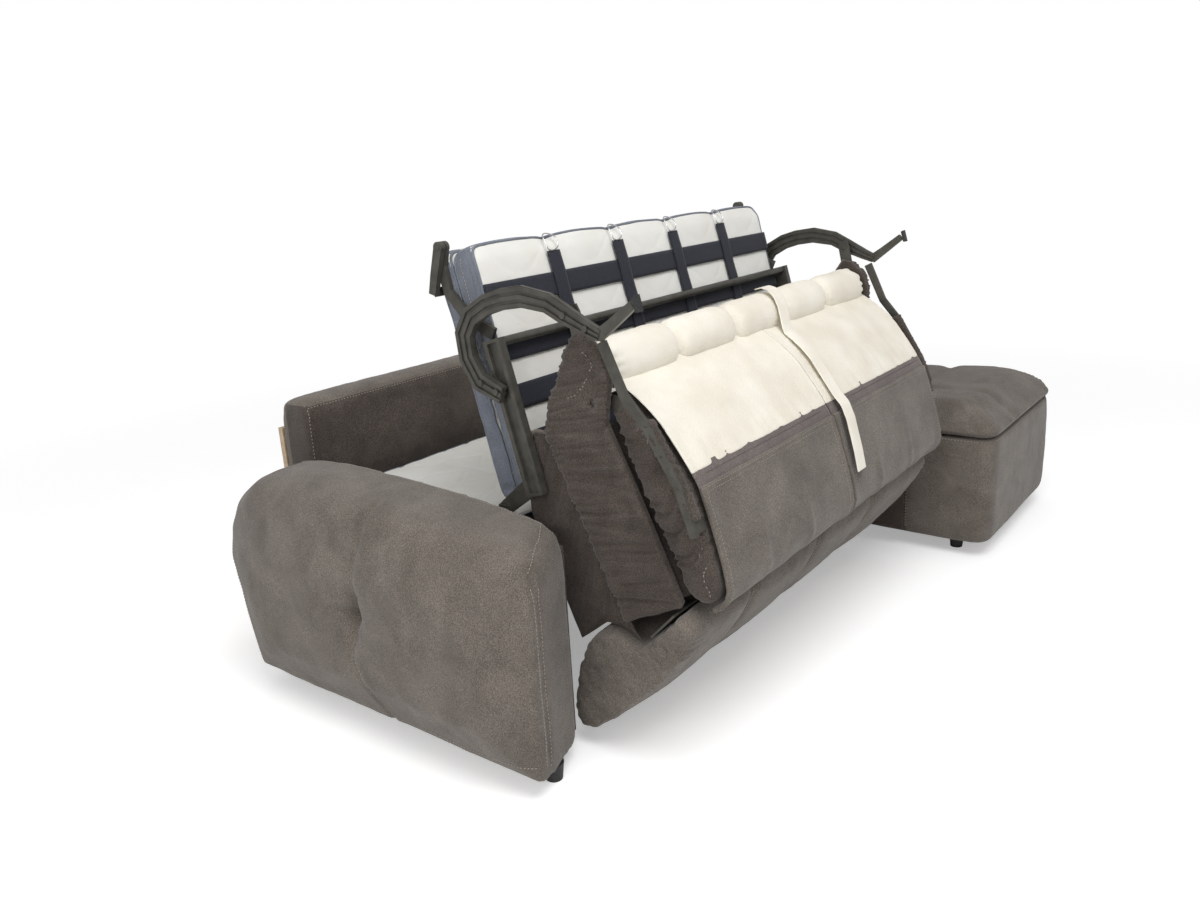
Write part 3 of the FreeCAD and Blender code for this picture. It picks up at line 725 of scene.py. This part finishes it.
chaise_base = skin("chaise_base", "chaise_base_cover", "sofa_body", (taupe, dark_taupe),
                   10, 7)
sculpt(chaise_base, level, chaise_side)
for face in chaise_base.data.polygons:
    if face.center.y > cloth_change / 1000 and face.center.x < 0.60:
        face.material_index = 1
chaise_cushion = skin("chaise_seat_cushion", "chaise_crowned_cushion", "sofa_body", taupe,
                      12, 6)
puff(chaise_cushion, level, lambda p: 1 - fade_in(p[2], 412, 440), 3.0, 14)
sculpt(chaise_cushion, level, chaise_crown)
chaise_back = skin("chaise_backrest", "chaise_back_cushion", "sofa_body", taupe,
                   8, 8)


def back_belly(p, n):
    belly = np.sin(np.clip((p[0] - 1530) / 480, 0, 1) * np.pi)
    return 6 * fade_in(-n[1], 0.3, 0.9) * belly + 2 * lumps(p, (90, 90, 90), 12)


def slight_wave(share, run):
    return 0.7 * noise.noise(Vector((share * 5, run * 9, 2)))


sculpt(chaise_back, level, back_belly)
chaise_lining = side_cloth("chaise_lining_cloth", level, [(-469, 398), (-287, 398)],
                           [(-469, 62), (-287, 62)], 1513.6, dark_taupe, slight_wave, 1.2)
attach(chaise_lining, "sofa_body")
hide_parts("chaise_lining_panel")
side_seam = [level.at(chaise_left, y, 401) for y in range(-700, 560, 40)]
end_seam = [level.at(chaise_left, -474, z) for z in range(70, 396, 30)]
front_line = [level.at(x, -748, 401) for x in range(1560, 2200, 40)]
stitches("chaise_stitching", chaise_base, [side_seam, end_seam, front_line], "sofa_body",
         10)

# %% [markdown]
# ## The mattress
# Each of the three sections is quilted in long leaf-shaped curves, edged with grey
# piping and closed round the sides with a blue-grey border. The webbing's pull makes the
# middle section's top edge scalloped.


# %% Quilted sections
pad_left, pad_wide, pad_bays = 58, 1314, 5
leaf = 62


def leaf_lines(across, along):
    """Distance in mm to the nearest of the wavy quilting lines."""
    wave = 34 * np.sin(across / 42)
    first = np.abs((along + wave + 1000) % (2 * leaf) - leaf)
    second = np.abs((along - wave + 1000 + leaf) % (2 * leaf) - leaf)
    return np.minimum(leaf - first, leaf - second)


def quilted(low, high, start, end, relief, scallops=False):
    middle, half = (low + high) / 2, (high - low) / 2

    def shape(p, n):
        inset, a, b = p
        flat = fade_in(np.abs(n[2]), 0.5, 0.9)
        lines = leaf_lines(inset, a)
        move = relief * flat * (4.0 - 7.0 * np.exp(-(lines / 7) ** 2)) - 1.5
        side = 1 - flat
        move += side * (3.0 * np.cos(np.clip((b - middle) / half, -1, 1) * np.pi / 2) - 1)
        fold = np.exp(-((a - start) / 70) ** 2) + 0.35
        move += side * 3.2 * fold * lumps(p, (200, 17, 60), 13)
        if scallops:
            top = fade_in(a, end - 55, end)
            bay = np.abs(np.sin((inset - pad_left) / (pad_wide / pad_bays) * np.pi))
            move += top * (10 * bay ** 0.6 - 12)
        return move + 0.8 * lumps(p, (60, 60, 60), 14)
    return shape


def dress_mattress(node, name, body, view, low, high, start, end, relief, scallops=False):
    piece = skin(node, name, body, (knit, blue_grey), 6, 4)
    sculpt(piece, view, quilted(low, high, start, end, relief, scallops))
    faces = piece.data.polygons
    ways = np.empty(len(faces) * 3, np.float32)
    faces.foreach_get("normal", ways)
    out = np.abs(view.local_way(ways.reshape(-1, 3).astype(float))[:, 2])
    faces.foreach_set("material_index", (out < 0.62).astype(np.int32))
    for edge_name, level_out in (("upper", high), ("lower", low)):
        ring = [view.at(x, a, level_out) for x, a in (
            (66, start + 14), (58, start + 40), (58, end - 40), (72, end - 2),
            (400, end + 4), (715, end + 4), (1030, end + 4), (1358, end - 2),
            (1372, end - 40), (1372, start + 40), (1364, start + 14), (715, start + 4))]
        piping(name + "_" + edge_name + "_piping", ring, 3.4, body,
               blue_grey, on=piece, closed=True)
    return piece


dress_mattress("head_mattress", "head_mattress_quilt", "head_section", level,
               431, 505, -52, 546, 0.4)
middle_pad = dress_mattress("middle_mattress", "middle_mattress_quilt", "bed_middle", bed,
                            35.5, 109.5, 8, 606, 0.12, True)
dress_mattress("foot_mattress", "foot_mattress_quilt", "bed_foot", bed,
               -17, 34.5, 10, 606, 0.5)

# %% [markdown]
# The middle section's border carries a zip near its lower edge and a small blank tab.
# Two kinds of elastic webbing hold the mattress to the frame, hooked to it by wire loops.

# %% Zip, blank tab and webbing
zip_line = [bed.at(56, a, 88) for a in range(60, 596, 30)]
stitches("mattress_zip_teeth", middle_pad, [zip_line], "bed_middle",
         4, 2.6, 2.2, blue_grey)
stitches("mattress_border_stitching", middle_pad,
         [[bed.at(56, a, 62) for a in range(40, 600, 30)]], "bed_middle", 8)
strip("mattress_blank_tab", bed, [(462, 60), (462, 74), (462, 84)], 49.5, 54, 1.2,
      "bed_middle", webbing, (2, 6))

bays = [pad_left + pad_wide * k / pad_bays for k in range(1, pad_bays)]
band_out, half_band = 111.75, 28
for order, along in enumerate((26, 137, 247, 358, 478)):
    band = strip("cross_webbing_%d" % (order + 1), bed,
                 [(along + step, band_out) for step in (-half_band, 0, half_band)],
                 60, 1370, 2.4, "bed_middle", webbing, (90, 6),
                 lambda share, run: 1.3 * math.sin(share * pad_bays * math.pi) ** 2)
    if order == 0:
        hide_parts("cross_webbing")
for order, middle in enumerate(bays):
    band = strip("lengthwise_webbing_%d" % (order + 1), bed,
                 [(14, 115.3), (200, 115.6), (400, 115.6), (556, 115.3)],
                 middle - 23, middle + 23, 2.4, "bed_middle", webbing, (6, 60),
                 lambda share, run: 0.8 * math.cos(run * 9 * math.pi))
    if order == 0:
        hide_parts("lengthwise_webbing")


def wire_ring(middle):
    """A D of wire: through the strap's sewn end, and over the mattress's edge."""
    return [bed.at(middle + x, a, out) for x, a, out in (
        (-21, 556, 118), (0, 556, 118), (21, 556, 118), (23, 574, 117), (22, 590, 113),
        (17, 600, 104), (0, 602, 100), (-17, 600, 104), (-22, 590, 113), (-23, 574, 117))]


for order, middle in enumerate(bays):
    ring = piping("webbing_wire_loop_%d" % (order + 1), wire_ring(middle), 1.6,
                  "bed_middle", wire, closed=True)
    if order == 0:
        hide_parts("webbing_wire_loops")

# %% [markdown]
# ## The seat
# The seat cushion stands on its front edge here, so its gathered ends show. The cloth
# there is far longer than the foam, and it is drawn in by piping at the lower edge: the
# wrinkles run across the cushion, closer together towards the piping.


# %% Seat cushion and its gathered ends
seat_wide = 1430


def from_end(side, inset):
    return inset if side < 0 else seat_wide - inset


def seat_top(p, n):
    inset, s, h = p
    across = sum(crease(inset - at, 6, 20) for at in (600, 1000))
    return across + 2.4 * lumps(p, (90, 90, 90), 15) + 1.0 * lumps(p, (26, 26, 26), 16) - 1


def gathered_end(side):
    def shape(p, n):
        inset, s, h = p
        outward = fade_in(-n[0] if side < 0 else n[0], 0.25, 0.8)
        belly = np.sin(np.clip((s - 60) / 630, 0, 1) * np.pi) ** 0.6
        bend = 26 * np.sin(s / 95) + 0.25 * h
        folds = lumps(np.array((inset * 0, s + bend, h)), (30, 19, 170), 17 + side)
        fine = lumps(np.array((inset * 0, s + bend, h)), (30, 9, 60), 21 + side)
        ridges = 1 - 2.6 * np.abs(folds) ** 0.8
        rim = np.abs(n[0])
        move = 2 * belly + 5.5 * ridges + 1.6 * fine + 12 * fade_in(rim, 0.5, 0.95)
        return outward * fade_in(rim, 0.45, 0.95) * move
    return shape


seat_pad = skin("seat_cushion", "seat_cushion_cover", "seat", dark_taupe, 8, 6)
sculpt(seat_pad, seat, seat_top)
edge_run = [(72, -166), (300, -167), (512, -166), (566, -129), (612, -68), (655, -22),
            (678, 18)]
for side, word in ((-1, "left"), (1, "right")):
    end = skin(word + "_seat_gusset", word + "_gathered_seat_end", "seat", dark_taupe,
               3.6, 2)
    sculpt(end, seat, gathered_end(side))
    inset = from_end(side, 49)
    piping(word + "_seat_end_piping", [seat.at(inset, s, h) for s, h in edge_run], 4.2,
           "seat", taupe)
    stitches(word + "_seat_end_stitching", end, [[seat.at(inset + 12 * side, s, h) for s, h in (
        (640, 20), (600, 30), (566, -20), (560, -70))]], "seat", 9)

# %% [markdown]
# Below the seat, a bellows of loose cloth fills the gap to the front border.

# %% Border bellows
def in_seat_view(a, b):
    """A point of the border's frame, given in the seat's frame."""
    return tuple(seat.local(np.array(border.at(0, a, b))[None, :])[0][1:])


bellows_top = [(74, -170.5), (300, -170.5), (512, -170.5), (534, -213)]
bellows_low = [in_seat_view(a, b) for a, b in (
    (6, -155.5), (56, -168), (91, -203), (100, -266), (106, -300))]
bellows_low += [(370, -318), (436, -286), (500, -250)]


def loose_folds(share, run):
    broad = 4.0 * math.sin(share * 40 + 2.4 * math.sin(run * 4))
    fine = 1.8 * math.sin(share * 83 + run * 9)
    return (broad + fine) * math.sin(math.pi * min(1, 0.15 + run * 0.8)) * 0.7


for side, word in ((-1, "left"), (1, "right")):
    bellows = side_cloth(word + "_border_bellows_cloth", seat, bellows_top, bellows_low,
                         from_end(side, 51.5), dark_taupe,
                         lambda share, run: side * loose_folds(share, run), 2.0, (90, 40))
    seat.at(51, 430, -200)
    seat.at(51, 60, -270)
    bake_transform(bellows)
    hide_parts(word + "_border_bellows")
    piping(word + "_bellows_piping", [seat.at(from_end(side, 50), s, h) for s, h in (
        (512, -168), (534, -213), (500, -250))], 4.2, "seat", taupe)

# %% [markdown]
# ## The front border
# A long padded roll hangs from the seat's front edge. Three seams cross it, and the
# stuffing between them swells into lobes.


# %% Front border
lobe_seams = (290, 640, 990)
border_holds = [(at, 14) for at in lobe_seams] + [(5, 60), (1425, 60)]


def border_lobes(p, n):
    inset, a, b = p
    seams = sum(crease(inset - at, 9, 13) + crease(inset - at, 7, 40) for at in lobe_seams)
    ends = np.exp(-((inset - 15) / 60) ** 2) + np.exp(-((inset - 1415) / 60) ** 2)
    gathers = ends * (5 * (1 - 2 * np.abs(lumps(p, (160, 20, 20), 23))) - 6)
    rumple = 2.6 * lumps(p, (110, 110, 110), 24) + 0.9 * lumps(p, (28, 28, 28), 25)
    return seams + gathers + rumple


front_border = skin("front_border", "front_border_cover", "front_border", taupe,
                    8, 7)
puff(front_border, border, lambda p: sum(
    np.exp(-((p[0] - at) / width) ** 2) for at, width in border_holds).clip(0, 1), 3.0, 12)
sculpt(front_border, border, border_lobes)
seam_runs = [[border.at(at + 4, a, b) for a, b in (
    (-60, -10), (-88, -66), (-99, -140), (-97, -240), (-89, -340), (-74, -430), (-46, -462))]
    for at in lobe_seams]
hem = [border.at(x, -42, -458) for x in range(40, 1400, 50)]
stitches("front_border_stitching", front_border, seam_runs + [hem], "front_border")

# %% [markdown]
# ## The backrest
# Seen from behind, a back cushion is three cloths: cream lining at the end that drops
# behind the seat, a strip of tape with a zip, and a flap of face fabric stitched along
# its edges. The cushion's dark ends are gathered.


# %% Back cushions
def back_pad(first, last):
    def shape(p, n):
        inset, s, h = p
        at_end = np.exp(-((inset - first) / 42) ** 2) + np.exp(-((inset - last) / 42) ** 2)
        swing = s + 22 * np.sin(h / 26) + 9 * np.sin(s / 30)
        wide_folds = lumps(np.array((inset * 0.2, swing, h * 0.3)), (60, 21, 60), 26)
        folds = 1 - 2.6 * np.abs(wide_folds) ** 0.8
        fine = lumps(np.array((inset, swing, h)), (60, 9, 30), 27)
        outer = fade_in(-n[0], 0.3, 0.9) if first < 100 else fade_in(n[0], 0.3, 0.9)
        dome = np.sqrt(np.clip(np.sin(np.clip((s - 45) / 475, 0, 1) * np.pi), 0, 1))
        bulge = 20 * outer * dome * np.clip(1 - ((h - 55) / 75) ** 2, 0, 1)
        gathers = at_end * (0.35 + 0.65 * outer) * (7 * folds + 1.6 * fine - 1)
        return gathers + 2.2 * lumps(p, (80, 80, 80), 28) + bulge
    return shape


lining_path = [(566, 30), (545, 46), (524, 60), (500, 74), (470, 89), (438, 101), (372, 115),
               (330, 122), (318, 123)]
flap_path = [(288, 129), (268, 127.5), (238, 124.5), (180, 117), (130, 109), (95, 101),
             (66, 92), (48, 78), (38, 60), (36, 34)]
zip_path = [(330, 121.5), (306, 125.5), (280, 126.5)]
end_seam_path = [(500, 50), (437, 66), (304, 88), (238, 84), (130, 72), (66, 50)]
flap_side = [(281, 137), (238, 132), (130, 117), (66, 100), (40, 70), (34, 40)]
for word, (first, last) in {"left": (68, 700), "right": (712, 1362)}.items():
    cushion = skin(word + "_back_cushion", word + "_back_cushion_cover", "backrest",
                   dark_taupe, 6, 5)
    sculpt(cushion, seat, back_pad(first, last))
    end_line = [seat.at(first + 2, s, h) for s, h in end_seam_path]
    stitches(word + "_back_end_stitching", cushion, [end_line], "backrest")
    wide = last - first - 16
    low_in, high_in = (first + 4, last + 5) if word == "left" else (first - 5, last - 4)

    def crown(share, run):
        edge = min(share, 1 - share) * wide
        side = min(1.0, edge / 60) ** 0.5
        rumple = noise.noise(Vector((share * 9, run * 3, first))) * 2.5
        near_zip = math.exp(-((run - 1) / 0.25) ** 2)
        pull = 2.0 * noise.noise(Vector((share * 30, run * 1.5, 4 + first))) * near_zip
        return side * 7 * math.sin(math.pi * min(1, 0.12 + run * 0.85)) + rumple * side + pull - 1

    lining = strip(word + "_cream_lining", seat, lining_path, low_in, high_in, 4.5,
                   "backrest", cream, (90, 40), crown, True)
    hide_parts(word + "_back_lining")

    def flap_form(share, run):
        edge = min(share, 1 - share) * wide
        side = min(1.0, edge / 45) ** 0.5
        run_edge = min(1.0, min(run, 1 - run) / 0.10) ** 0.5
        wave = noise.noise(Vector((share * 7, run * 3, 9 + first))) * 3.0
        low_down = math.exp(-((run - 0.72) / 0.22) ** 2)
        dents = sum(-3.5 * math.exp(-((share - at) / 0.02) ** 2) * low_down
                    for at in (0.28, 0.62))
        return side * run_edge * 4.5 + wave * side + dents

    flap = strip(word + "_velvet_flap", seat, flap_path, low_in + 2, high_in - 2, 12,
                 "backrest", taupe, (100, 60), flap_form, True)
    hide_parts(word + "_back_flap")
    outline = [[seat.at(x, s, 137) for x in range(first + 16, last - 12, 40)]
               for s in (281, 271)]
    outline += [[seat.at(x, s, h) for s, h in flap_side] for x in (first + 20, last - 20)]
    stitches(word + "_flap_stitching", flap, outline, "backrest", 8, 5.5, 1.6)
    tape = strip(word + "_zip_tape", seat, zip_path, low_in + 2, high_in - 2, 2.2,
                 "backrest", mauve, (80, 6),
                 lambda share, run: 0.8 * noise.noise(Vector((share * 20, run, 3))))
    if word == "left":
        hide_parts("back_zip_strips")
    teeth = [seat.at(x, 308, 126) for x in range(first + 24, last - 20, 30)]
    stitches(word + "_zip_teeth", tape, [teeth], "backrest", 4, 2.6, 2.4, mauve)

# %% [markdown]
# The steel bar at each side runs down into a gathered sleeve of the dark cloth, sewn to
# the corner of the flap. It is a tube whose rings swell and shrink like bunched cloth.


# %% Gathered sleeves on the side bars
def bunched(p, n):
    inset, s, h = p
    run = s + 0.5 * h + 5 * np.sin(inset / 9)
    rings = lumps(np.array((inset * 0.4, run, h * 0.3)), (40, 9, 40), 33)
    return 3.0 * (1 - 2.4 * np.abs(rings) ** 0.8)


sleeve_path = [(452, 97), (437, 98), (400, 101), (350, 107), (305, 112), (262, 112),
               (232, 108)]
for side, word in ((-1, "left"), (1, "right")):
    run = [seat.at(from_end(side, 42), s, h) for s, h in sleeve_path]
    sleeve = piping(word + "_bar_sleeve", run, 14, "backrest", dark_taupe)
    even = sleeve.modifiers.new("even_skin", "REMESH")
    even.mode, even.voxel_size = "VOXEL", 0.0035
    apply_modifiers(sleeve)
    sculpt(sleeve, seat, bunched)

# %% [markdown]
# The cream roll along the backrest's lower end is sewn in at four pleats and stuffed
# hard. The cloth simulation holds the pleats and swells the bays between them.


# %% Cream roll
roll_left, roll_right, roll_bays = 68, 1362, 5
pleats = [roll_left + (roll_right - roll_left) * k / roll_bays for k in range(1, roll_bays)]


def roll_form(p, n):
    inset, s, h = p
    sewn = sum(crease(inset - at, 8, 10) + crease(inset - at, 5, 34) for at in pleats)
    ends = sum(np.exp(-((inset - at) / 30) ** 2) for at in (roll_left, roll_right))
    angle = np.arctan2(h - 14, s - 598)
    puckers = ends * 3.5 * np.cos(angle * 11 + 2 * np.sin(angle * 3))
    return sewn + puckers + 2.4 * lumps(p, (90, 60, 60), 29) + 0.7 * lumps(p, (22, 22, 22), 30)


roll = skin("back_lower_roll", "cream_back_roll", "backrest", cream, 6, 5)
puff(roll, seat, lambda p: sum(
    np.exp(-((p[0] - at) / 12) ** 2) for at in pleats).clip(0, 1), 4.0, 9)
sculpt(roll, seat, roll_form)

# %% [markdown]
# ## The pull strap
# A flat strap of the cream cloth, sewn double, lies over the roll and down the cushion.
# One pulls on it to turn the bed out. It is 5 cm wide and about 0.59 m long.

# %% Pull strap
strap_path = [(664, 22), (660, 44), (646, 62), (622, 72), (596, 74), (566, 70), (542, 66),
              (524, 66), (500, 82), (470, 98), (438, 111), (372, 127), (330, 137), (300, 148),
              (260, 149), (238, 146), (180, 139), (128, 130)]


def strap_wave(share, run):
    return 1.6 * math.sin(run * 13) * math.sin(share * 3.1) + 1.2


strap = strip("pull_strap_cloth", seat, strap_path, 748, 798, 3.4, "backrest",
              cream, (10, 120), strap_wave, True, -70)
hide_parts("pull_strap")
strap_long = float(Path(strap_path).length) / 1000
print("strap is", round(strap_long, 3), "m long")
